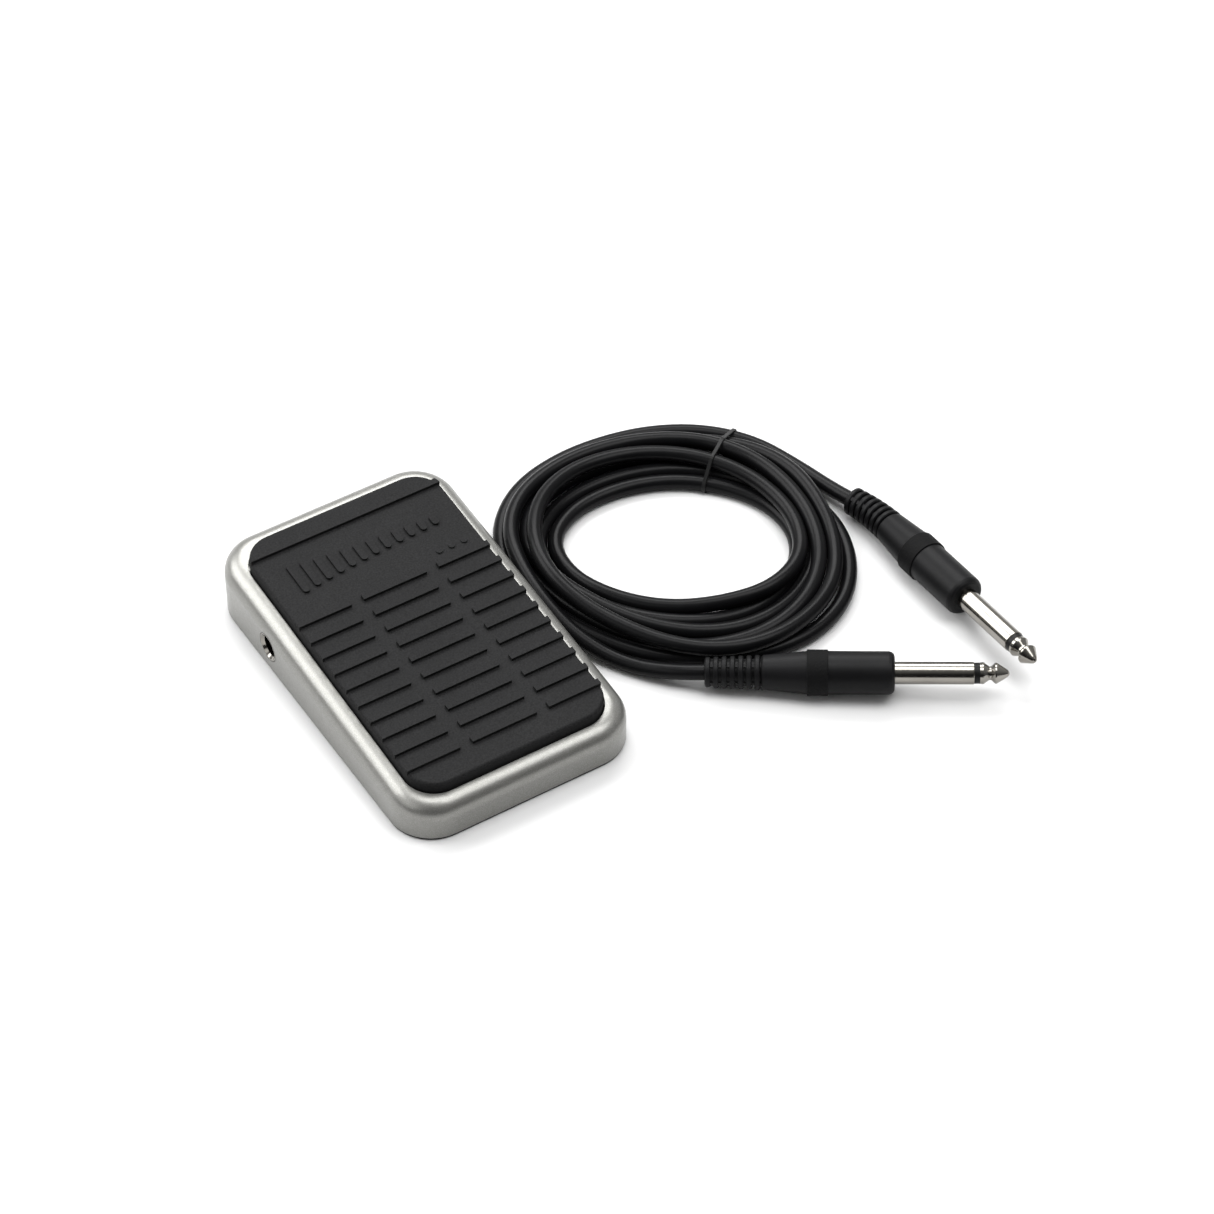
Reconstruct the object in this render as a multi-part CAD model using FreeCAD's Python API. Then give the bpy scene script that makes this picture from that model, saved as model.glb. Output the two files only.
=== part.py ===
# Sustain pedal (foot switch) with its separate two-plug lead.
# Millimetres. Row frame: origin at the middle of the underside of the pedal,
# +X to the right, +Y towards the hinged (high) end, +Z up.
# The pedal is a low wedge: a die-cast shell with a rocking rubber-faced treadle
# let into its sloping top. The hinge pin is at the high end, two coil springs
# and the switch lie under the treadle, and a 1/4 inch socket is in the left wall.
import FreeCAD, Part
import math
import os

os.makedirs("parts", exist_ok=True)
V = FreeCAD.Vector

# ---------------------------------------------------------------- dimensions
W = 73.0            # shell width
L = 115.6           # shell length
RC = 13.0           # shell corner radius in plan
ZR = 15.9           # height of the rim plane above the floor at y = 0
SLOPE = 3.725       # slope of the rim plane, degrees, rising towards +Y
RIM_FILLET = 5.2    # rounding between wall and rim
WALL = 2.2          # shell wall
SOLE_T = 0.8        # rubber sole
BASE_T = 1.0        # steel base plate
PAD_HX = 30.7       # tread half width
PAD_Y0, PAD_Y1 = -52.5, 50.0
PAD_R = 9.0
PAD_UP = 3.5        # tread face above the rim plane
PAD_DOWN = 1.9      # tread underside below the rim plane
PAD_GAP = 0.45      # gap between tread and shell
RIB_PITCH = 6.566
RIB_Y1 = 14.5       # front face of the first rib
RIB_N = 10
RIB_W = 1.9
RIB_H = 1.0
COLS = ((-PAD_HX, -14.05), (-10.1, 10.1), (14.05, PAD_HX))
PIN_Y, PIN_Z, PIN_R = 44.5, 12.0, 1.5
JACK_Y, JACK_Z = 23.4, 8.5
JACK_BORE = 3.25    # running bore for a 6.35 mm plug
BUSH_R = 4.3        # outside of the socket's plated nose
SLEEVE_R = 3.175    # 1/4 inch plug sleeve
CABLE_D = 4.6


# ------------------------------------------------------------------- helpers
def box(x0, x1, y0, y1, z0, z1):
    return Part.makeBox(x1 - x0, y1 - y0, z1 - z0, V(x0, y0, z0))


def cyl(r, h, p, d=V(0, 0, 1)):
    return Part.makeCylinder(r, h, p, d)


def rrect(x0, x1, y0, y1, r, z0, z1):
    """Prism with rounded corners in plan."""
    k = r * (1 - math.sqrt(0.5))
    e = [
        Part.LineSegment(V(x0 + r, y0, z0), V(x1 - r, y0, z0)),
        Part.Arc(V(x1 - r, y0, z0), V(x1 - k, y0 + k, z0), V(x1, y0 + r, z0)),
        Part.LineSegment(V(x1, y0 + r, z0), V(x1, y1 - r, z0)),
        Part.Arc(V(x1, y1 - r, z0), V(x1 - k, y1 - k, z0), V(x1 - r, y1, z0)),
        Part.LineSegment(V(x1 - r, y1, z0), V(x0 + r, y1, z0)),
        Part.Arc(V(x0 + r, y1, z0), V(x0 + k, y1 - k, z0), V(x0, y1 - r, z0)),
        Part.LineSegment(V(x0, y1 - r, z0), V(x0, y0 + r, z0)),
        Part.Arc(V(x0, y0 + r, z0), V(x0 + k, y0 + k, z0), V(x0 + r, y0, z0)),
    ]
    w = Part.Wire([s.toShape() for s in e])
    return Part.Face(w).extrude(V(0, 0, z1 - z0))


def tilt(s):
    """Turn a shape drawn level with the rim plane at ZR onto the slope."""
    s = s.copy()
    s.rotate(V(0, 0, ZR), V(1, 0, 0), SLOPE)
    return s


def level(dz):
    """Half space above the plane that lies dz above the rim plane."""
    return tilt(box(-90, 90, -140, 140, ZR + dz, ZR + dz + 60))


def revolve(profile):
    """Solid turned about the X axis from (x, r) points."""
    pts = [V(x, 0, r) for x, r in profile]
    return Part.Face(Part.makePolygon(pts + [pts[0]])).revolve(V(0, 0, 0), V(1, 0, 0), 360)


def aim(s, p, d):
    """Place a solid drawn along +X at p, pointing along d."""
    s = s.copy()
    s.Placement = FreeCAD.Placement(V(*p), FreeCAD.Rotation(V(1, 0, 0), V(*d)))
    return s


def route(points, dia, name):
    """Round tube of straight runs joined by tangent arcs."""
    P = [V(*p) for p in points]
    edges = []
    at = P[0]
    radii = []
    length = 0.0
    for i in range(1, len(P) - 1):
        a = (P[i] - P[i - 1])
        b = (P[i + 1] - P[i])
        la, lb = a.Length, b.Length
        a.normalize()
        b.normalize()
        turn = a.getAngle(b)
        t = 0.45 * min(la, lb)
        r = t / math.tan(turn / 2)
        radii.append(round(r, 1))
        p0 = P[i] - a * t
        p1 = P[i] + b * t
        m = b - a
        m.normalize()
        mid = P[i] + m * (r / math.cos(turn / 2) - r)
        if (p0 - at).Length > 1e-6:
            edges.append(Part.LineSegment(at, p0).toShape())
            length += (p0 - at).Length
        edges.append(Part.Arc(p0, mid, p1).toShape())
        length += r * turn
        at = p1
    edges.append(Part.LineSegment(at, P[-1]).toShape())
    length += (P[-1] - at).Length
    path = Part.Wire(edges)
    d0 = P[1] - P[0]
    prof = Part.Wire([Part.Circle(P[0], d0, dia / 2).toShape()])
    s = path.makePipeShell([prof], True, False)
    want = math.pi * dia * dia / 4 * length
    print(name, "length %.1f radii %s volume %.1f of %.1f valid %s" % (length, radii, s.Volume, want, s.isValid()))
    return s


def spring(x, y, z0, z1, od, wire, turns):
    """Open coil spring of round wire between z0 and z1."""
    h = z1 - z0 - wire
    r = (od - wire) / 2
    hel = Part.makeHelix(h / turns, h, r)
    prof = Part.Wire([Part.Circle(V(r, 0, 0), V(0, 1, 0), wire / 2).toShape()])
    s = Part.Wire(hel.Edges).makePipeShell([prof], True, True)
    s.translate(V(x, y, z0 + wire / 2))
    return s


def save(name, *shapes):
    solids = []
    for s in shapes:
        solids += s.Solids
    c = solids[0] if len(solids) == 1 else Part.makeCompound(solids)
    c.exportStep("parts/%s.step" % name)
    b = c.BoundBox
    print("%-20s %2d solids vol %9.1f  x %7.2f %7.2f  y %7.2f %7.2f  z %6.2f %6.2f %s" % (
        name, len(solids), c.Volume, b.XMin, b.XMax, b.YMin, b.YMax, b.ZMin, b.ZMax,
        "" if all(q.isValid() for q in solids) else "INVALID"))
    return c


# ------------------------------------------------------------------- housing
outer = rrect(-W / 2, W / 2, -L / 2, L / 2, RC, SOLE_T, 40).cut(level(0))
top_edges = [e for e in outer.Edges if all(
    abs((v.Point.z - ZR) - v.Point.y * math.tan(math.radians(SLOPE))) < 0.01 for v in e.Vertexes)]
outer = outer.makeFillet(RIM_FILLET, top_edges)
cav = rrect(-W / 2 + WALL, W / 2 - WALL, -L / 2 + WALL, L / 2 - WALL, RC - WALL, SOLE_T - 1, 40)
ceil_dz = -WALL
cav = cav.cut(level(ceil_dz))
cav_edges = [e for e in cav.Edges if all(
    abs((v.Point.z - ZR - ceil_dz / math.cos(math.radians(SLOPE))) - v.Point.y * math.tan(math.radians(SLOPE))) < 0.02
    for v in e.Vertexes)]
cav = cav.makeFillet(2.8, cav_edges)
housing = outer.cut(cav)
lugs = [box(sx * 31.2 if sx > 0 else -34.5, 34.5 if sx > 0 else -31.2, 40, 49, 8.5, 17.0) for sx in (-1, 1)]
NEAR = [(-28.6, -49.9), (28.6, -49.9)]
FAR = [(-20.0, 52.3), (20.0, 52.3)]
BOSS_R = 4.2
Z_IN = SOLE_T + BASE_T      # top of the base plate
bosses = [cyl(BOSS_R, 5.2 - Z_IN, V(x, y, Z_IN)) for x, y in NEAR]
bosses += [cyl(BOSS_R, 12.0 - Z_IN, V(x, y, Z_IN)) for x, y in FAR]
ledge = box(-20, 20, -55.8, -52.6, 8.0, 9.4)
inner_clip = rrect(-W / 2 + 1, W / 2 - 1, -L / 2 + 1, L / 2 - 1, RC - 1, SOLE_T, 30)
extra = lugs[0].fuse(lugs[1:] + bosses + [ledge]).common(inner_clip)
housing = housing.fuse(extra)
housing = housing.cut(tilt(rrect(-PAD_HX - PAD_GAP, PAD_HX + PAD_GAP, PAD_Y0 - PAD_GAP, PAD_Y1 + PAD_GAP,
                                 PAD_R + PAD_GAP, ZR - 6, ZR + 8)))
slots = [box(-34.3, -31.0, PIN_Y - 1.525, PIN_Y + 1.525, 8, PIN_Z), box(31.0, 34.3, PIN_Y - 1.525, PIN_Y + 1.525, 8, PIN_Z),
         cyl(1.525, 68.6, V(-34.3, PIN_Y, PIN_Z), V(1, 0, 0))]
holes = [cyl(1.5, 3.1, V(x, y, Z_IN)) for x, y in NEAR] + [cyl(1.5, 7.0, V(x, y, Z_IN)) for x, y in FAR]
jack_hole = cyl(BUSH_R + 0.2, 4, V(-W / 2 - 1, JACK_Y, JACK_Z), V(1, 0, 0))
for c in slots + holes + [jack_hole]:
    housing = housing.cut(c)
save("housing", housing)

# ------------------------------------------------------------ sole and base
SCREWS = NEAR + FAR
sole = rrect(-W / 2 + 0.3, W / 2 - 0.3, -L / 2 + 0.3, L / 2 - 0.3, RC - 0.3, 0, SOLE_T)
base = rrect(-W / 2 + WALL + 0.2, W / 2 - WALL - 0.2, -L / 2 + WALL + 0.2, L / 2 - WALL - 0.2, RC - WALL - 0.2, SOLE_T, Z_IN)
screws = []
for i, (x, y) in enumerate(SCREWS):
    sole = sole.cut(cyl(3.0, SOLE_T + 1, V(x, y, -0.5)))
    base = base.cut(Part.makeCone(2.8, 1.65, BASE_T, V(x, y, SOLE_T)))
    ln = 2.8 if i < 2 else 6.4
    s = Part.makeCone(2.75, 1.6, BASE_T, V(x, y, SOLE_T)).fuse(cyl(1.45, ln + 0.2, V(x, y, Z_IN - 0.2)))
    s = s.cut(box(x - 0.3, x + 0.3, y - 1.6, y + 1.6, SOLE_T - 0.1, SOLE_T + 0.45))
    s = s.cut(box(x - 1.6, x + 1.6, y - 0.3, y + 0.3, SOLE_T - 0.1, SOLE_T + 0.45))
    screws.append(s)
BR_SCREWS = [(4.0, 34.0), (12.0, 34.0)]
for x, y in BR_SCREWS:
    base = base.cut(cyl(1.25, 2, V(x, y, 0.5)))
save("sole", sole)
save("base_plate", base)
save("base_screws", *screws)

# --------------------------------------------------------------------- hinge
pin = cyl(PIN_R, 68.2, V(-34.1, PIN_Y, PIN_Z), V(1, 0, 0))
save("hinge_pin", pin)
keep = [box(-34.0, -31.4, 43.1, 45.9, Z_IN, PIN_Z - PIN_R), box(31.4, 34.0, 43.1, 45.9, Z_IN, PIN_Z - PIN_R)]
save("hinge_keepers", *keep)

# ------------------------------------------------------------------- treadle
PT, PB = -PAD_DOWN, -PAD_DOWN - 1.5      # faces of the steel plate, from the rim plane
plate = tilt(rrect(-29.7, 29.7, -51.5, 49.0, 8.0, ZR + PB, ZR + PT))
plate = plate.cut(tilt(box(-31.5, -6.0, 15.0, 32.0, ZR + PB - 1, ZR + PT + 1)))
ears = []
for x in (-29.7, 28.2):
    ears.append(box(x, x + 1.5, 40.5, 48.5, PIN_Z, 16.4))
    ears.append(cyl(4.0, 1.5, V(x, PIN_Y, PIN_Z), V(1, 0, 0)))
hooks = []
for x in (-16.0, 8.0):
    hooks.append(box(x, x + 8, -51.9, -50.4, 6.45, 11.6))
    hooks.append(box(x, x + 8, -54.8, -50.4, 6.45, 7.95))
plate = plate.fuse(ears + hooks).cut(level(PT))
for x in (-30.5, 27.5):
    plate = plate.cut(cyl(2.5, 3, V(x, PIN_Y, PIN_Z), V(1, 0, 0)))
save("treadle_plate", plate)

bush = []
for sx in (-1, 1):
    b = cyl(2.5, 1.5, V(28.2, PIN_Y, PIN_Z), V(1, 0, 0)).fuse(cyl(3.5, 1.2, V(29.7, PIN_Y, PIN_Z), V(1, 0, 0)))
    b = b.cut(cyl(1.55, 6, V(27, PIN_Y, PIN_Z), V(1, 0, 0)))
    if sx < 0:
        b = b.mirror(V(0, 0, 0), V(1, 0, 0))
    bush.append(b)
save("hinge_bushes", *bush)

# tread: plain block, rounded top edge, three columns of ribs, one full rib
pad = rrect(-PAD_HX, PAD_HX, PAD_Y0, PAD_Y1, PAD_R, ZR - PAD_DOWN, ZR + PAD_UP)
pad = pad.makeFillet(0.9, [e for e in pad.Edges if all(abs(v.Point.z - ZR - PAD_UP) < 1e-6 for v in e.Vertexes)])
clip = rrect(-PAD_HX, PAD_HX, PAD_Y0, PAD_Y1, PAD_R, ZR, ZR + 8)
ribs = []
for j in range(RIB_N):
    y = RIB_Y1 - RIB_PITCH * j
    for a, b in COLS:
        ribs.append(box(a, b, y, y + RIB_W, ZR + PAD_UP - 1.2, ZR + PAD_UP + RIB_H))
ribs.append(box(-PAD_HX, PAD_HX, 42.4, 44.3, ZR + PAD_UP - 1.2, ZR + PAD_UP + RIB_H))
# raised ornament in the plain field: a row of round-ended bars that die away, and three studs
MOTIF_X0, MOTIF_PITCH, MOTIF_N, MOTIF_Y, MOTIF_W = -22.0, 4.0, 12, 31.0, 2.0
for i in range(MOTIF_N):
    h = 11.0 * math.exp(-0.11 * i) + 0.6
    x = MOTIF_X0 + MOTIF_PITCH * i
    y0, y1 = MOTIF_Y - h / 2, MOTIF_Y + h / 2
    z0, z1 = ZR + PAD_UP - 1.0, ZR + PAD_UP + 0.7
    ribs.append(box(x - MOTIF_W / 2, x + MOTIF_W / 2, y0 + MOTIF_W / 2, y1 - MOTIF_W / 2, z0, z1))
    ribs.append(cyl(MOTIF_W / 2, z1 - z0, V(x, y0 + MOTIF_W / 2, z0)))
    ribs.append(cyl(MOTIF_W / 2, z1 - z0, V(x, y1 - MOTIF_W / 2, z0)))
for x in (17.5, 21.5, 25.5):
    ribs.append(cyl(1.0, 1.4, V(x, 20.2, ZR + PAD_UP - 1.0)))
raised = ribs[0].fuse(ribs[1:]).common(clip)
pad = tilt(pad.fuse(raised).removeSplitter())
save("tread_pad", pad)

save("actuator_stud", cyl(1.2, 3, V(8, 26, 12.95)).cut(level(PB)))
SPR = [(-16.0, -30.0), (16.0, -30.0)]
save("spring_caps", *[cyl(5.0, 4, V(x, y, 9.6)).cut(level(PB)).fuse(cyl(2.2, 1.4, V(x, y, 8.2))) for x, y in SPR])
save("spring_seats", *[cyl(5.0, 0.8, V(x, y, Z_IN)).fuse(cyl(2.2, 2.8, V(x, y, Z_IN))) for x, y in SPR])
save("return_springs", *[spring(x, y, Z_IN + 0.8, 9.6, 8.0, 0.9, 4.5) for x, y in SPR])
save("stop_bumpers", *[cyl(3.5, 4.2, V(x, -44, Z_IN)) for x in (-20, 20)])

# -------------------------------------------------------------------- switch
SX, SY = 8.0, 26.0
sw = box(SX - 6.4, SX + 6.4, SY - 2.9, SY + 2.9, 5.6, 12.1)
sw = sw.makeFillet(0.4, [e for e in sw.Edges if abs(e.Vertexes[0].Point.z - e.Vertexes[-1].Point.z) > 5])
sw = sw.cut(box(SX - 0.9, SX + 0.9, SY - 1.6, SY + 1.6, 9.4, 13))
for dx in (-3.25, 3.25):
    sw = sw.cut(cyl(1.05, 8, V(SX + dx, SY - 4, 7.6), V(0, 1, 0)))
save("switch_body", sw)
save("switch_plunger", box(SX - 0.8, SX + 0.8, SY - 1.5, SY + 1.5, 10.3, 12.9))
save("switch_terminals", *[box(SX + dx - 0.3, SX + dx + 0.3, SY - 1.2, SY + 1.2, 3.4, 5.6) for dx in (-5.0, 0.0, 5.0)])
br = box(1.6, 14.4, 28.9, 29.9, Z_IN, 11.0).fuse(box(1.6, 14.4, 28.9, 38.0, Z_IN, Z_IN + 1.0))
for dx in (-3.25, 3.25):
    br = br.cut(cyl(1.05, 3, V(SX + dx, 28, 7.6), V(0, 1, 0)))
for x, y in BR_SCREWS:
    br = br.cut(cyl(1.25, 3, V(x, y, 1)))
save("switch_bracket", br)
save("switch_screws", *[cyl(1.8, 1.4, V(SX + dx, SY - 4.3, 7.6), V(0, 1, 0)).fuse(
    cyl(1.0, 7.0, V(SX + dx, SY - 3.1, 7.6), V(0, 1, 0))) for dx in (-3.25, 3.25)])
save("bracket_screws", *[cyl(2.2, 1.4, V(x, y, Z_IN + 1.0)).fuse(cyl(1.2, 2.1, V(x, y, 0.9))) for x, y in BR_SCREWS])

# ---------------------------------------------------------------------- jack
jb = cyl(BUSH_R, 6.6, V(-W / 2, JACK_Y, JACK_Z), V(1, 0, 0)).cut(cyl(JACK_BORE, 8, V(-W / 2 - 1, JACK_Y, JACK_Z), V(1, 0, 0)))
jb = jb.cut(Part.makeCone(3.95, 3.25, 0.8, V(-W / 2, JACK_Y, JACK_Z), V(1, 0, 0)))
save("jack_bush", jb)
jbody = box(-33.8, -7.2, 16.9, 29.9, Z_IN, 13.2)
jbody = jbody.makeFillet(0.8, [e for e in jbody.Edges if abs(e.Vertexes[0].Point.z - e.Vertexes[-1].Point.z) > 5 and e.Vertexes[0].Point.x > -10])
jbody = jbody.cut(cyl(BUSH_R, 3.9, V(-33.8, JACK_Y, JACK_Z), V(1, 0, 0)))
jbody = jbody.cut(cyl(3.7, 22, V(-31, JACK_Y, JACK_Z), V(1, 0, 0)))
tip_c = box(-16, -6.8, 22.4, 24.4, 11.77, 12.0).fuse(box(-7.15, -6.8, 22.4, 24.4, 5.0, 12.0))
jbody = jbody.cut(box(-10, -6, 22.3, 24.5, 11.7, 12.1))
sl_c = box(-29, -20, 26.66, 26.9, 7.5, 9.5).fuse(box(-20.4, -20.0, 26.66, 31.5, 7.5, 9.5))
jbody = jbody.cut(box(-20.5, -19.9, 26, 31, 7.4, 9.6))
save("jack_body", jbody)
save("jack_tip_contact", tip_c)
save("jack_sleeve_contact", sl_c)
wt = route([(-6.75, 23.4, 5.6), (-3.2, 23.2, 5.0), (0.2, 21.4, 3.9), (4.4, 20.9, 3.9), (7.5, 22.0, 4.2), (8.0, 24.6, 4.3)], 1.2, "wire_tip")
ws = route([(-20.2, 32.1, 8.5), (-14.0, 32.0, 8.2), (-8.0, 32.2, 7.0), (-4.0, 30.6, 5.2), (-2.2, 27.4, 4.4), (0.4, 26.2, 4.2), (2.6, 26.05, 4.2)], 1.2, "wire_sleeve")
save("wire_tip", wt)
save("wire_sleeve", ws)

# ---------------------------------------------------------------------- lead
SR_L = 16.3         # ringed strain relief
T1 = 28.4           # end of the taper
T2 = 34.3           # end of the collar
T3 = 52.8           # end of the grip
T4 = 74.8           # end of the sleeve
T5 = 76.4           # end of the insulating ring
T6 = 84.6           # point of the tip
RINGS = 7
RELIEF_R = 3.5      # core between the rings
BARB_R = 2.7        # sleeve inside the grip
INSUL_R = 2.95      # insulating ring
RING_W = 1.5
BRIDGE = (3.95, 0.55)  # ribs that bridge the grooves: half height across the core, half width
PITCH = (SR_L - 0.2) / RINGS


def ring_r(i):
    return 4.25 + 0.1 * i


grip_profile = [(SR_L - 0.6, 0), (SR_L - 0.6, 4.3), (SR_L, 4.85), (T1, 6.05), (T1, 6.3), (T1 + 0.15, 6.45), (T2 - 0.15, 6.45),
                (T2, 6.3), (T2, 6.05), (T3 - 1.6, 6.05), (T3 - 0.9, 5.85), (T3 - 0.3, 5.4), (T3, 4.7), (T3, 0)]


def ring(i):
    r = ring_r(i)
    return revolve([(0, 0), (0, r - 0.3), (0.3, r), (RING_W - 0.3, r), (RING_W, r - 0.3), (RING_W, 0)])


def cross_section(p, roll_deg):
    """Rectangle through p, square to +X, turned by roll_deg about it."""
    h, w = BRIDGE
    a = math.radians(roll_deg)
    c, s = math.cos(a), math.sin(a)
    pts = [V(p.x, p.y + c * y - s * z, p.z + s * y + c * z) for y, z in ((-h, -w), (h, -w), (h, w), (-h, w))]
    return Part.Wire(Part.makePolygon(pts + pts[:1]).Edges)


def grip(bend_deg, roll_deg):
    """Moulded grip along +X; its ringed tail leans by bend_deg towards +Y at its free end.
    Four ribs along the tail bridge its grooves, the first at roll_deg from +Y."""
    g = revolve(grip_profile)
    if abs(bend_deg) < 0.01:
        parts = [cyl(RELIEF_R, SR_L, V(0, 0, 0), V(1, 0, 0))]
        for k in (0, 90):
            parts.append(Part.Face(cross_section(V(0.4, 0, 0), roll_deg + k)).extrude(V(SR_L - 0.8, 0, 0)))
        for i in range(RINGS):
            s = ring(i)
            s.translate(V(0.1 + PITCH * i, 0, 0))
            parts.append(s)
    else:
        a = math.radians(bend_deg)
        R = SR_L / a
        # arc from the root (SR_L, 0) back to the free end

        def at(u):
            t = u / R
            return V(SR_L - R * math.sin(t), R * (1 - math.cos(t)), 0), V(-math.cos(t), math.sin(t), 0)
        p0, d0 = at(0)
        pm, dm = at(SR_L / 2)
        p1, d1 = at(SR_L)
        path = Part.Wire([Part.Arc(p0, pm, p1).toShape()])
        core = path.makePipeShell([Part.Wire([Part.Circle(p0, V(1, 0, 0), RELIEF_R).toShape()])], True, False)
        parts = [core]
        u0, u1 = 0.4, SR_L - 0.4
        (pa, _), (pb, _), (pc, dc) = at(u0), at((u0 + u1) / 2), at(u1)
        rib_path = Part.Wire([Part.Arc(pa, pb, pc).toShape()])
        lean = FreeCAD.Rotation(V(1, 0, 0), V(-at(u0)[1].x, -at(u0)[1].y, 0))
        for k in (0, 90):
            sec = cross_section(V(0, 0, 0), roll_deg + k)
            sec.Placement = FreeCAD.Placement(pa, lean)
            parts.append(rib_path.makePipeShell([sec], True, False))
        for i in range(RINGS):
            s0 = 0.1 + PITCH * i              # start of the ring, from the free end
            p, d = at(SR_L - s0)
            q = ring(i)
            q.Placement = FreeCAD.Placement(p, FreeCAD.Rotation(V(1, 0, 0), V(-d.x, -d.y, 0)))
            parts.append(q)
    g = g.fuse(parts)
    return g.cut(cyl(BARB_R, 20, V(T3 - 8, 0, 0), V(1, 0, 0)))


sleeve = revolve([(T3 - 8, 1.9), (T3 - 8, BARB_R), (T3, BARB_R), (T3, SLEEVE_R), (T4 - 0.15, SLEEVE_R), (T4, SLEEVE_R - 0.15), (T4, 1.9)])
insul = revolve([(T3 - 8, 1.0), (T3 - 8, 1.9), (T4, 1.9), (T4, INSUL_R), (T5, INSUL_R), (T5, 1.0)])
tip = revolve([(T3 - 8, 0), (T3 - 8, 1.0), (T5, 1.0), (T5, 3.0), (T5 + 0.9, 3.12), (T5 + 1.2, 2.95), (T5 + 2.6, 1.95), (T5 + 3.1, 1.95),
               (T5 + 4.2, 2.95), (T5 + 4.6, 3.0), (T6 - 1.0, 1.35), (T6 - 0.35, 0.85), (T6, 0.25), (T6, 0)])

B_P, B_D = (63.20, -47.18, 5.46), (0.8253, -0.5637, 0.0349)
A_P, A_D = (139.45, -11.74, 4.72), (0.0159, -0.9980, 0.0610)
for tag, p, d, bend, roll in (("a", A_P, A_D, -14.0, 32.0), ("b", B_P, B_D, 0.0, 14.0)):
    save("plug_%s_grip" % tag, aim(grip(bend, roll), p, d))
    save("plug_%s_sleeve" % tag, aim(sleeve, p, d))
    save("plug_%s_insulator" % tag, aim(insul, p, d))
    save("plug_%s_tip" % tag, aim(tip, p, d))

# the coil: six and a bit loose turns, drawn as one ring of their outer shape
COIL_Z = 12.0
OUTER = [(131.2, 1.5), (132.2, 20.1), (122.5, 36.4), (107.3, 47.1), (89.9, 51.7), (72.1, 51.9), (55.3, 46.0), (43.2, 34.2), (38.0, 18.6),
         (37.5, 1.5), (39.3, -13.2), (47.6, -26.5), (58.3, -37.7), (72.4, -47.2), (90.4, -51.3), (109.3, -47.5), (124.2, -34.8), (131.0, -17.1)]
INNER = [(113.4, 1.5), (108.7, 11.6), (101.9, 19.0), (94.1, 24.2), (85.5, 27.3), (76.4, 27.8), (66.9, 26.0), (59.0, 20.1), (55.8, 11.0),
         (57.4, 1.5), (60.9, -5.6), (65.4, -11.6), (70.6, -16.5), (77.0, -21.1), (86.0, -24.8), (97.2, -26.3), (107.9, -21.1), (114.0, -10.4)]


def closed(points, z):
    c = Part.BSplineCurve()
    c.interpolate(Points=[V(x, y, z) for x, y in points], PeriodicFlag=True)
    return Part.Wire([c.toShape()])


coil = Part.Face(closed(OUTER, 0)).extrude(V(0, 0, COIL_Z)).cut(Part.Face(closed(INNER, -1)).extrude(V(0, 0, COIL_Z + 2)))
# thin tie round all the turns; its lower strand lies in a groove of the coil solid
TIE_IN, TIE_OUT = (104.20, 15.88), (126.05, 33.69)
TIE_W, TIE_T = 1.3, 0.5
tu = V(TIE_OUT[0] - TIE_IN[0], TIE_OUT[1] - TIE_IN[1], 0)
tie_len = tu.Length
tie = box(0, tie_len, -TIE_W / 2, TIE_W / 2, 0, COIL_Z + TIE_T + 0.1).cut(
    box(TIE_T, tie_len - TIE_T, -TIE_W, TIE_W, TIE_T, COIL_Z + 0.1))
groove = box(-2, tie_len + 2, -TIE_W / 2 - 0.1, TIE_W / 2 + 0.1, -1, TIE_T + 0.1)
tie = aim(tie, (TIE_IN[0], TIE_IN[1], 0), (tu.x, tu.y, 0))
groove = aim(groove, (TIE_IN[0], TIE_IN[1], 0), (tu.x, tu.y, 0))
coil = coil.cut(groove)
save("coil_tie", tie)
save("cable_coil", coil)
TAIL_B = [(63.20, -47.18, 5.46), (56.98, -41.97, 4.54), (51.95, -36.11, 3.22), (48.0, -29.6, 2.50), (46.4, -23.2, 2.30), (46.6, -17.0, 2.30)]
TAIL_A = [(137.475, -11.940, 4.611), (135.84, -4.90, 3.86), (134.45, 2.70, 3.05), (132.2, 11.4, 2.45), (129.0, 18.4, 2.30), (125.2, 23.8, 2.30)]
save("cable_tail_b", route(TAIL_B, CABLE_D, "tail_b"))
save("cable_tail_a", route(TAIL_A, CABLE_D, "tail_a"))
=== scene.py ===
# Looks of the sustain pedal and its loose lead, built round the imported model.
# Metres; the row frame: origin under the middle of the pedal, +Y to the hinged end.
import bpy
import bmesh
import math
from mathutils import Vector, Matrix


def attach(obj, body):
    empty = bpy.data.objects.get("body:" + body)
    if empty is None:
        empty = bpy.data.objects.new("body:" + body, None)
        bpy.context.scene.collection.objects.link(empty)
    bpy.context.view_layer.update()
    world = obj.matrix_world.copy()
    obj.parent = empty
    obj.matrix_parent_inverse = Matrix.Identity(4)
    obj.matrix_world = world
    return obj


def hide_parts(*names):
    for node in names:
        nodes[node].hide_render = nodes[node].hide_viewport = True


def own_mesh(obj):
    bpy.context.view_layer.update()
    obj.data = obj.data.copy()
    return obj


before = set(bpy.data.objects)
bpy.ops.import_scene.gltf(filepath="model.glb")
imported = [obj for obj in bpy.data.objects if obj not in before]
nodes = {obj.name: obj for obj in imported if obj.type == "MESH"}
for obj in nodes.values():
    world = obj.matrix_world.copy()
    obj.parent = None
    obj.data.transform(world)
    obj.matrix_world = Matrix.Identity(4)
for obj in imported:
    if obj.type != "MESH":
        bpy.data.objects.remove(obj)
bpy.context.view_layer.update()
scene = bpy.context.scene
scene.view_settings.view_transform = "Standard"
MM = 0.001


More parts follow.
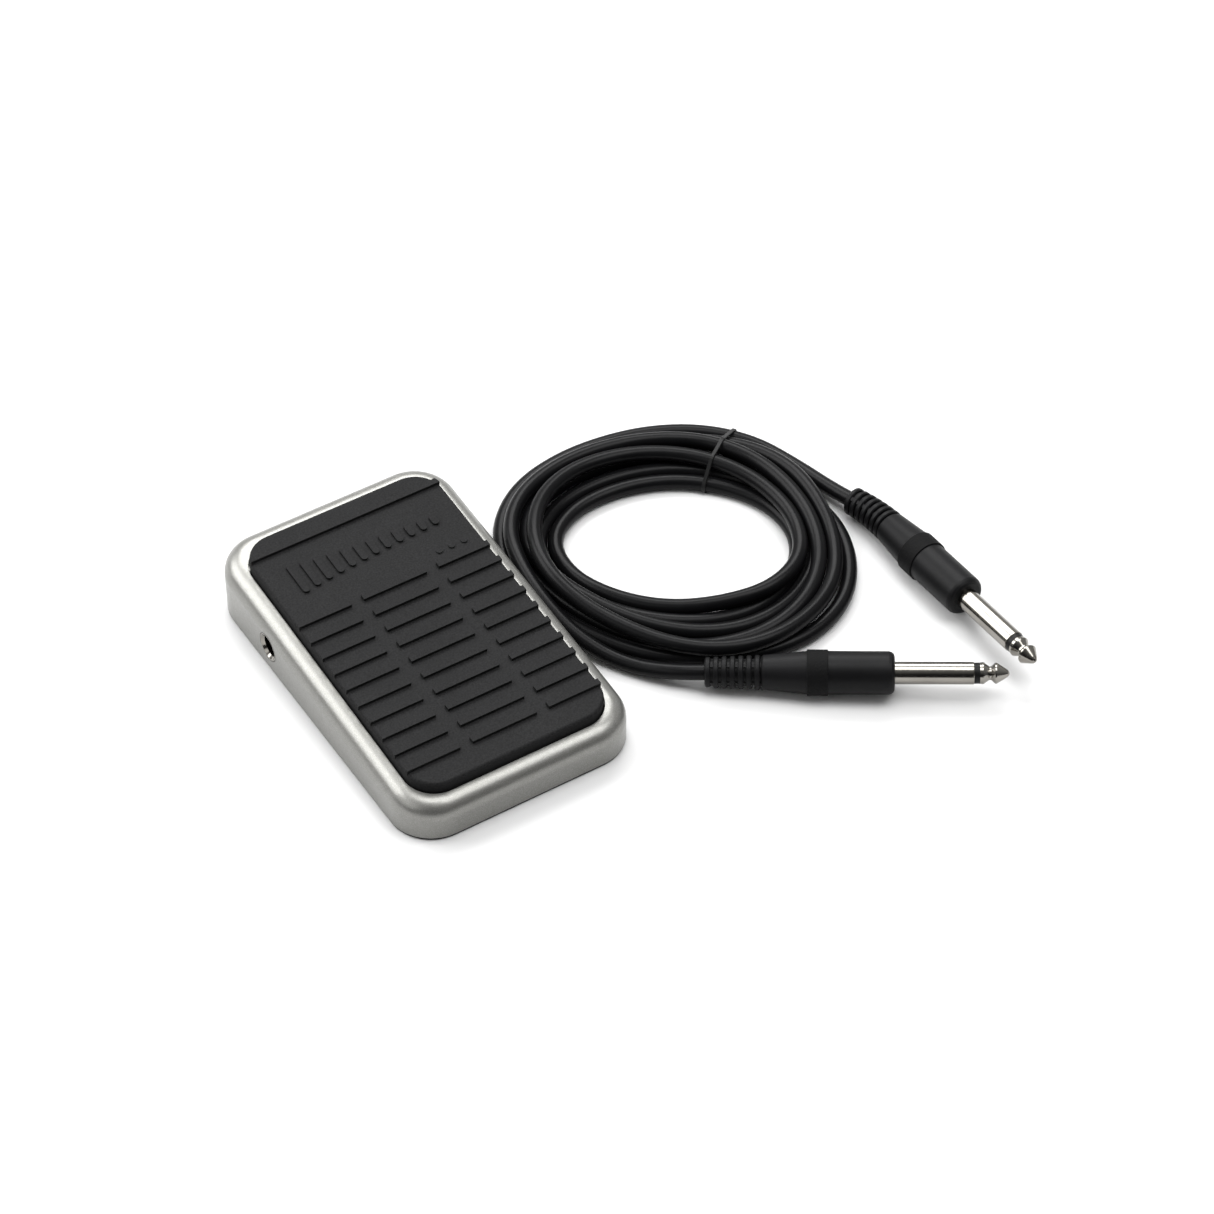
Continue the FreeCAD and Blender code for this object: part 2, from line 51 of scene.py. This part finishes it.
# ------------------------------------------------------------------ camera
cam_data = bpy.data.cameras.new("camera")
cam_data.sensor_width = 36.0
cam_data.sensor_fit = "HORIZONTAL"
cam_data.lens = 116.4
cam_data.clip_start = 0.02
cam = bpy.data.objects.new("camera", cam_data)
scene.collection.objects.link(cam)
CAM = Vector((-0.35752, -0.66778, 0.80210))
RIGHT = Vector((0.84702, -0.53155, -0.00093))
UP = Vector((0.38164, 0.60692, 0.69714))
FWD = Vector((0.37001, 0.59085, -0.71693))
m = Matrix((RIGHT, UP, -FWD)).transposed().to_4x4()
m.translation = CAM
cam.matrix_world = m
scene.camera = cam


# --------------------------------------------------------------- materials
class Mat:
    """Small helper for node materials."""

    def __init__(self, name):
        self.m = bpy.data.materials.new(name)
        self.m.use_nodes = True
        self.t = self.m.node_tree
        self.b = self.t.nodes["Principled BSDF"]
        self.geo = self.t.nodes.new("ShaderNodeTexCoord")

    def n(self, kind, **inputs):
        node = self.t.nodes.new(kind)
        for k, v in inputs.items():
            node.inputs[k.replace("_", " ")].default_value = v
        return node

    def link(self, a, b):
        self.t.links.new(a, b)

    def noise(self, scale, detail=3.0, rough=0.5, src=None):
        node = self.n("ShaderNodeTexNoise", Scale=scale, Detail=detail, Roughness=rough)
        self.link(src or self.geo.outputs["Object"], node.inputs["Vector"])
        return node

    def ramp(self, src, stops, interp="LINEAR"):
        node = self.t.nodes.new("ShaderNodeValToRGB")
        node.color_ramp.interpolation = interp
        while len(node.color_ramp.elements) < len(stops):
            node.color_ramp.elements.new(0.5)
        for e, (p, c) in zip(node.color_ramp.elements, stops):
            e.position = p
            e.color = (c[0], c[1], c[2], 1) if isinstance(c, (tuple, list)) else (c, c, c, 1)
        self.link(src, node.inputs["Fac"])
        return node

    def map(self, src, a, b, c, d):
        node = self.t.nodes.new("ShaderNodeMapRange")
        for k, v in zip(("From Min", "From Max", "To Min", "To Max"), (a, b, c, d)):
            node.inputs[k].default_value = v
        self.link(src, node.inputs["Value"])
        return node

    def mix(self, fac, a, b, kind="MIX"):
        node = self.t.nodes.new("ShaderNodeMix")
        node.data_type = "RGBA"
        node.blend_type = kind
        for k, v in (("Factor", fac), ("A", a), ("B", b)):
            s = [i for i in node.inputs if i.name == k and i.enabled][0] if k == "Factor" else [i for i in node.inputs if i.name == k and i.type == "RGBA"][0]
            if hasattr(v, "default_value") or hasattr(v, "is_output"):
                self.link(v, s)
            else:
                s.default_value = v if k == "Factor" else (v[0], v[1], v[2], 1)
        return [o for o in node.outputs if o.type == "RGBA"][0]

    def bump(self, heights):
        """heights: list of (socket, distance in metres, strength), chained."""
        last = None
        for h, dist, strength in heights:
            b = self.n("ShaderNodeBump", Strength=strength, Distance=dist)
            self.link(h, b.inputs["Height"])
            if last:
                self.link(last.outputs["Normal"], b.inputs["Normal"])
            last = b
        self.link(last.outputs["Normal"], self.b.inputs["Normal"])

    def set(self, **kw):
        for k, v in kw.items():
            self.b.inputs[k.replace("_", " ")].default_value = v
        return self


def paint():
    """Silver metallic paint over a die casting: fine flake, soft orange peel and a tone that varies a little at random.
    """
    M = Mat("silver_paint").set(Metallic=0.72, Specular_IOR_Level=0.5, Coat_Weight=0.2, Coat_Roughness=0.2)
    flake = M.noise(5200, 2, 0.6)
    blot = M.noise(38, 4, 0.55)
    fine = M.noise(900, 3, 0.6)
    base = M.ramp(flake.outputs["Fac"], [(0.30, (0.19, 0.189, 0.176)), (0.52, (0.245, 0.243, 0.229)), (0.75, (0.34, 0.34, 0.33))])
    tone = M.ramp(blot.outputs["Fac"], [(0.3, (0.93, 0.93, 0.92)), (0.7, (1.0, 1.0, 1.0))])
    col = M.mix(1.0, base.outputs["Color"], tone.outputs["Color"], "MULTIPLY")
    M.link(col, M.b.inputs["Base Color"])
    r = M.map(fine.outputs["Fac"], 0.3, 0.7, 0.33, 0.41)
    M.link(r.outputs["Result"], M.b.inputs["Roughness"])
    M.bump([(M.noise(260, 3, 0.5).outputs["Fac"], 0.00006, 0.35), (flake.outputs["Fac"], 0.00001, 0.35)])
    return M.m


def rubber(name, lo, hi, rough=(0.62, 0.8), grain=2600, depth=0.00003, spec=0.28):
    M = Mat(name).set(Specular_IOR_Level=spec)
    g = M.noise(grain, 4, 0.65)
    big = M.noise(60, 4, 0.6)
    c = M.ramp(g.outputs["Fac"], [(0.3, lo), (0.7, hi)])
    t = M.ramp(big.outputs["Fac"], [(0.3, (0.9, 0.9, 0.9)), (0.7, (1.05, 1.05, 1.05))])
    M.link(M.mix(1.0, c.outputs["Color"], t.outputs["Color"], "MULTIPLY"), M.b.inputs["Base Color"])
    M.link(M.map(g.outputs["Fac"], 0.3, 0.7, rough[0], rough[1]).outputs["Result"], M.b.inputs["Roughness"])
    M.bump([(big.outputs["Fac"], 0.00008, 0.2), (g.outputs["Fac"], depth, 0.6)])
    return M.m


def plastic(name, c0, c1, rough=(0.35, 0.45), grain=3000, depth=0.000015, coat=0.0, spec=0.5):
    M = Mat(name).set(Specular_IOR_Level=spec, Coat_Weight=coat, Coat_Roughness=0.2)
    g = M.noise(grain, 3, 0.55)
    big = M.noise(90, 3, 0.5)
    c = M.ramp(big.outputs["Fac"], [(0.3, c0), (0.7, c1)])
    M.link(c.outputs["Color"], M.b.inputs["Base Color"])
    M.link(M.map(g.outputs["Fac"], 0.3, 0.7, rough[0], rough[1]).outputs["Result"], M.b.inputs["Roughness"])
    M.bump([(g.outputs["Fac"], depth, 0.5)])
    return M.m


def metal(name, c0, c1, rough=(0.15, 0.28), grain=800, brushed=None, depth=0.00001):
    M = Mat(name).set(Metallic=1.0)
    g = M.noise(grain, 4, 0.6)
    big = M.noise(120, 3, 0.5)
    if brushed:
        mp = M.t.nodes.new("ShaderNodeMapping")
        mp.inputs["Scale"].default_value = brushed
        M.link(M.geo.outputs["Object"], mp.inputs["Vector"])
        g = M.noise(grain, 4, 0.6, mp.outputs["Vector"])
    c = M.ramp(big.outputs["Fac"], [(0.3, c0), (0.7, c1)])
    M.link(c.outputs["Color"], M.b.inputs["Base Color"])
    M.link(M.map(g.outputs["Fac"], 0.3, 0.7, rough[0], rough[1]).outputs["Result"], M.b.inputs["Roughness"])
    M.bump([(g.outputs["Fac"], depth, 0.4)])
    return M.m


PAINT = paint()
TREAD = rubber("tread_rubber", (0.006, 0.006, 0.0062), (0.021, 0.021, 0.0215), (0.6, 0.75), 2000, 0.00006, 0.09)
BLACK_RUBBER = rubber("black_rubber", (0.012, 0.012, 0.012), (0.022, 0.022, 0.022))
CABLE = plastic("cable_jacket", (0.0032, 0.0032, 0.0036), (0.005, 0.005, 0.0054), (0.27, 0.34), 1500, 0.000004, 0.0, 0.10)


def moulding(name, root, axis):
    """Satin black plug moulding; its collar, 28.4 to 34.3 mm along, is matt and finely knurled."""
    M = Mat(name).set(Specular_IOR_Level=0.12)
    g = M.noise(2400, 3, 0.55)
    big = M.noise(90, 3, 0.5)
    c = M.ramp(big.outputs["Fac"], [(0.3, (0.0035, 0.0035, 0.0038)), (0.7, (0.0055, 0.0055, 0.006))])
    off = M.n("ShaderNodeVectorMath")
    off.operation = "SUBTRACT"
    off.inputs[1].default_value = [v * MM for v in root]
    M.link(M.geo.outputs["Object"], off.inputs[0])
    along = M.n("ShaderNodeVectorMath")
    along.operation = "DOT_PRODUCT"
    along.inputs[1].default_value = axis
    M.link(off.outputs["Vector"], along.inputs[0])
    up = M.map(along.outputs["Value"], 0.0284, 0.0286, 0.0, 1.0)
    down = M.map(along.outputs["Value"], 0.0341, 0.0343, 1.0, 0.0)
    collar = M.n("ShaderNodeMath")
    collar.operation = "MULTIPLY"
    M.link(up.outputs["Result"], collar.inputs[0])
    M.link(down.outputs["Result"], collar.inputs[1])
    M.link(M.mix(collar.outputs["Value"], c.outputs["Color"], (0.0022, 0.0022, 0.0024)), M.b.inputs["Base Color"])
    base_r = M.map(g.outputs["Fac"], 0.3, 0.7, 0.40, 0.50)
    more = M.n("ShaderNodeMath")
    more.operation = "MULTIPLY_ADD"
    more.inputs[1].default_value = 0.25
    M.link(collar.outputs["Value"], more.inputs[0])
    M.link(base_r.outputs["Result"], more.inputs[2])
    M.link(more.outputs["Value"], M.b.inputs["Roughness"])
    knurl = M.noise(1700, 1, 0.4)
    kn = M.n("ShaderNodeMath")
    kn.operation = "MULTIPLY"
    M.link(knurl.outputs["Fac"], kn.inputs[0])
    M.link(collar.outputs["Value"], kn.inputs[1])
    M.bump([(kn.outputs["Value"], 0.0001, 0.8), (g.outputs["Fac"], 0.00001, 0.5)])
    return M.m


PLUG_A = moulding("plug_moulding_a", (139.45, -11.74, 4.72), (0.0159, -0.9980, 0.0610))
PLUG_B = moulding("plug_moulding_b", (63.20, -47.18, 5.46), (0.8253, -0.5637, 0.0349))
DARK = plastic("dark_plastic", (0.012, 0.012, 0.012), (0.02, 0.02, 0.02))
NYLON = plastic("nylon", (0.68, 0.66, 0.60), (0.74, 0.72, 0.67), (0.45, 0.55))
RED = plastic("red_plastic", (0.42, 0.03, 0.02), (0.5, 0.05, 0.03))
NICKEL = metal("nickel", (0.25, 0.238, 0.214), (0.30, 0.287, 0.262), (0.13, 0.20))
STEEL = metal("zinc_steel", (0.52, 0.52, 0.50), (0.60, 0.60, 0.57), (0.3, 0.45), 300, (1, 12, 12))
SCREW = metal("screw_steel", (0.38, 0.38, 0.38), (0.45, 0.45, 0.45), (0.25, 0.4))
BRASS = metal("contact_brass", (0.66, 0.48, 0.2), (0.72, 0.54, 0.26), (0.2, 0.35))
TIE = plastic("tie_black", (0.004, 0.004, 0.004), (0.007, 0.007, 0.007), (0.35, 0.45), 3000, 0.000008, 0.0, 0.15)

USE = {"housing": PAINT, "sole": BLACK_RUBBER, "base_plate": STEEL, "base_screws": SCREW, "hinge_pin": STEEL,
       "hinge_keepers": STEEL, "treadle_plate": STEEL, "hinge_bushes": NYLON, "tread_pad": TREAD, "actuator_stud": STEEL,
       "spring_caps": NYLON, "spring_seats": NYLON, "return_springs": SCREW, "stop_bumpers": BLACK_RUBBER,
       "switch_body": DARK, "switch_plunger": RED, "switch_terminals": BRASS, "switch_bracket": STEEL, "switch_screws": SCREW,
       "bracket_screws": SCREW, "jack_bush": NICKEL, "jack_body": DARK, "jack_tip_contact": BRASS, "jack_sleeve_contact": BRASS,
       "wire_tip": RED, "wire_sleeve": DARK, "coil_tie": TIE, "cable_coil": CABLE, "cable_tail_a": CABLE, "cable_tail_b": CABLE}
for tag in "ab":
    USE["plug_%s_grip" % tag] = PLUG_A if tag == "a" else PLUG_B
    USE["plug_%s_sleeve" % tag] = NICKEL
    USE["plug_%s_insulator" % tag] = TIE
    USE["plug_%s_tip" % tag] = NICKEL
for name, o in nodes.items():
    o.data.materials.clear()
    o.data.materials.append(USE[name])


# -------------------------------------------------------------------- cord
CABLE_D = 4.6
CORD = [
    (63.2, -47.2, 5.5), (57.4, -43.2, 4.9), (47.7, -30.6, 1.9), (40.7, -16.7, 4.4), (38.8, -1.7, 6.7),
    (40.2, 13.9, 7.8), (44.9, 28.6, 7.7), (55.7, 39.4, 7.3), (70.5, 44.3, 7.0), (86.1, 44.1, 6.8),
    (101.1, 39.5, 6.6), (113.7, 30.6, 6.7), (121.5, 17.4, 7.0), (123.8, 1.9, 7.4), (121.9, -13.8, 7.4),
    (115.7, -28.1, 6.5), (104.4, -38.2, 4.8), (89.4, -41.9, 3.3), (74.1, -39.0, 2.5), (61.0, -30.4, 2.3),
    (51.9, -17.9, 2.3), (46.1, -3.3, 2.3), (43.2, 12.1, 2.3), (46.2, 27.4, 2.3), (56.1, 39.3, 2.3),
    (70.6, 45.0, 2.3), (86.3, 45.3, 2.3), (101.6, 41.9, 2.4), (115.0, 34.0, 3.3), (124.7, 22.0, 5.0),
    (129.0, 7.5, 6.8), (127.9, -8.0, 7.0), (123.6, -23.0, 5.9), (115.1, -36.0, 5.3), (102.1, -44.4, 6.1),
    (86.9, -47.9, 7.0), (72.0, -44.6, 7.2), (60.2, -34.8, 7.2), (51.6, -21.6, 7.9), (45.5, -7.3, 9.4),
    (44.1, 7.9, 10.9), (49.3, 22.6, 10.9), (59.9, 34.1, 9.6), (74.2, 39.8, 8.0), (89.7, 38.3, 7.1),
    (103.4, 30.7, 6.9), (113.3, 18.7, 7.0), (118.3, 3.8, 7.1), (117.8, -12.0, 7.3), (110.6, -25.8, 7.4),
    (96.7, -31.4, 7.2), (81.70, -27.70, 5.80), (68.90, -19.10, 3.40), (58.6, -7.2, 2.8), (52.8, 7.5, 2.3),
    (55.3, 22.3, 2.3), (68.0, 30.3, 2.3), (83.9, 30.7, 2.3), (98.7, 25.4, 2.3), (110.7, 15.2, 2.3),
    (117.9, 1.2, 2.3), (117.3, -14.1, 2.3), (107.6, -26.2, 2.3), (93.0, -32.2, 2.3), (77.81, -29.86, 2.30),
    (64.80, -21.49, 2.30), (54.7, -9.4, 2.3), (48.6, 5.1, 2.3), (49.3, 20.4, 2.3), (59.1, 31.7, 2.3),
    (74.1, 35.9, 2.3), (89.7, 34.3, 2.3), (103.9, 27.7, 2.3), (115.2, 16.9, 2.3), (122.3, 2.9, 2.3),
    (122.6, -12.5, 2.3), (114.9, -25.9, 2.3), (101.8, -34.5, 2.3), (86.5, -37.1, 2.6), (71.7, -32.6, 3.4),
    (59.8, -22.7, 4.7), (51.4, -9.6, 5.9), (46.4, 5.3, 6.4), (46.7, 20.8, 6.2), (55.0, 33.5, 5.2),
    (68.9, 40.0, 3.8), (84.6, 40.8, 2.8), (99.6, 36.7, 2.3), (112.2, 27.7, 2.3), (121.7, 15.3, 2.3),
    (128.0, 1.0, 2.3), (129.7, -14.4, 2.3), (125.1, -29.3, 2.3), (115.4, -41.6, 2.3), (101.5, -48.3, 2.3),
    (85.9, -48.2, 2.3), (71.1, -42.9, 2.3), (58.2, -34.1, 2.4), (48.6, -21.9, 2.3), (42.6, -7.5, 2.3),
    (39.0, 7.7, 2.3), (39.8, 23.2, 2.3), (47.0, 37.0, 2.3), (59.2, 46.4, 2.3), (74.4, 50.1, 2.3),
    (90.1, 49.5, 2.3), (105.1, 45.5, 2.4), (118.4, 37.4, 2.5), (128.2, 25.4, 2.5), (133.2, 10.6, 2.2),
    (135.7, -5.2, 3.9), (137.5, -11.9, 4.6),
]
cu = bpy.data.curves.new("lead_cord", "CURVE")
cu.dimensions = "3D"
sp = cu.splines.new("NURBS")
sp.points.add(len(CORD) - 1)
for p, (x, y, z) in zip(sp.points, CORD):
    p.co = (x * MM, y * MM, z * MM, 1)
sp.order_u = 3
sp.use_endpoint_u = True
sp.resolution_u = 8
cu.resolution_u = 8
cu.bevel_depth = CABLE_D * MM / 2
cu.bevel_resolution = 8
cu.use_fill_caps = True
cu.materials.append(CABLE)
cord = bpy.data.objects.new("lead_cord", cu)
scene.collection.objects.link(cord)
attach(cord, "base")
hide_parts("cable_coil", "cable_tail_a", "cable_tail_b")

# ---------------------------------------------------------------- coil tie
# thin moulded band drawn round all the turns: (along the band's plane, height), mm
TIE_A, TIE_U = (106.50, 18.40), (0.8121, 0.5836)
TIE_LOOP = [(12.40, 9.23), (8.9, 9.26), (5.26, 9.40), (4.63, 9.31), (4.05, 9.07), (3.0, 8.2), (0.8, 6.2), (-1.54, 4.01),
            (-1.93, 3.51), (-2.17, 2.93), (-2.26, 2.30), (-2.17, 1.67), (-1.93, 1.09), (-1.54, 0.62), (-1.03, 0.36), (-0.44, 0.30),
            (4.8, 0.30), (10.69, 0.30), (16.0, 0.30), (21.27, 0.30), (21.90, 0.36), (22.48, 0.52), (22.98, 0.85), (23.37, 1.29),
            (23.61, 1.87), (23.69, 2.50), (23.61, 3.13), (23.37, 3.71), (22.98, 4.21), (22.48, 4.60), (19.3, 6.15), (16.1, 7.7),
            (13.33, 9.05), (12.72, 9.21)]
BAND = [(-0.60, -0.05), (-0.60, 0.22), (-0.44, 0.36), (0.44, 0.36), (0.60, 0.22), (0.60, -0.05)]
verts, faces = [], []
nl, nb = len(TIE_LOOP), len(BAND)
for i, (a, z) in enumerate(TIE_LOOP):
    a0, z0 = TIE_LOOP[i - 1]
    a1, z1 = TIE_LOOP[(i + 1) % nl]
    ta, tz = a1 - a0, z1 - z0
    tl = math.hypot(ta, tz)
    na, nz = tz / tl, -ta / tl  # the loop runs so that this points outward
    for w, t in BAND:
        pa, pz = a + na * t, max(z + nz * t, 0.02)
        verts.append(((TIE_A[0] + TIE_U[0] * pa - TIE_U[1] * w) * MM, (TIE_A[1] + TIE_U[1] * pa + TIE_U[0] * w) * MM, pz * MM))
for i in range(nl):
    j = (i + 1) % nl
    for k in range(nb):
        q = (k + 1) % nb
        faces.append((i * nb + k, i * nb + q, j * nb + q, j * nb + k))
tm = bpy.data.meshes.new("coil_band")
tm.from_pydata(verts, [], faces)
bmt = bmesh.new()
bmt.from_mesh(tm)
bmesh.ops.recalc_face_normals(bmt, faces=bmt.faces)
bmt.to_mesh(tm)
bmt.free()
tm.materials.append(TIE)
band = bpy.data.objects.new("coil_band", tm)
scene.collection.objects.link(band)
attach(band, "base")
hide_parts("coil_tie")

# ---------------------------------------------------------- return springs
# the same coils, on a piece of their own hung from the base
coils = bpy.data.objects.new("return_coils", nodes["return_springs"].data.copy())
scene.collection.objects.link(coils)
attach(coils, "base")
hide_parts("return_springs")
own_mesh(coils)

# ------------------------------------------------------------------- stage
fl = bpy.data.meshes.new("floor")
fl.from_pydata([(-3, -3, 0), (3, -3, 0), (3, 3, 0), (-3, 3, 0)], [], [(0, 1, 2, 3)])
floor = bpy.data.objects.new("floor", fl)
floor.location = (0, 0, -0.00005)
scene.collection.objects.link(floor)
fm = bpy.data.materials.new("floor_white")
fm.use_nodes = True
fb = fm.node_tree.nodes["Principled BSDF"]
fb.inputs["Base Color"].default_value = (0.68, 0.68, 0.68, 1)
fb.inputs["Roughness"].default_value = 0.9
fb.inputs["Specular IOR Level"].default_value = 0.1
fl.materials.append(fm)

# a studio that is bright behind and above and dim on the near side
world = bpy.data.worlds.new("studio")
scene.world = world
world.use_nodes = True
wt = world.node_tree
bg = wt.nodes["Background"]
wc = wt.nodes.new("ShaderNodeTexCoord")
dot = wt.nodes.new("ShaderNodeVectorMath")
dot.operation = "DOT_PRODUCT"
dot.inputs[1].default_value = (0.47, 0.74, 0.48)
wt.links.new(wc.outputs["Generated"], dot.inputs[0])
wr = wt.nodes.new("ShaderNodeMapRange")
wr.inputs["From Min"].default_value = -0.5
wr.inputs["From Max"].default_value = 0.9
wr.inputs["To Min"].default_value = 0.03
wr.inputs["To Max"].default_value = 0.6
wt.links.new(dot.outputs["Value"], wr.inputs["Value"])
wt.links.new(wr.outputs["Result"], bg.inputs["Strength"])
bg.inputs["Color"].default_value = (1, 1, 1, 1)


def area(name, loc, target, size, power, color=(1, 1, 1), size_y=None):
    d = bpy.data.lights.new(name, "AREA")
    d.energy = power
    d.color = color
    d.shape = "RECTANGLE"
    d.size = size
    d.size_y = size_y or size
    o = bpy.data.objects.new(name, d)
    o.location = loc
    o.rotation_euler = (Vector(target) - Vector(loc)).to_track_quat("-Z", "Y").to_euler()
    scene.collection.objects.link(o)
    return o


area("key_back", (0.45, 0.75, 0.95), (0.03, 0.0, 0.0), 0.9, 11.5, (1, 1, 1), 0.5)
area("top", (0.05, 0.05, 1.25), (0.05, 0.0, 0.0), 0.6, 6.0)
area("left_back", (-0.62, 0.80, 0.80), (0.0, 0.0, 0.0), 0.9, 15.0)
area("top_front", (0.42, -0.34, 1.05), (0.0, -0.03, 0.0), 0.6, 6.0)
area("fill_left", (-0.9, -0.1, 0.7), (0.03, 0.0, 0.0), 0.7, 2.0)
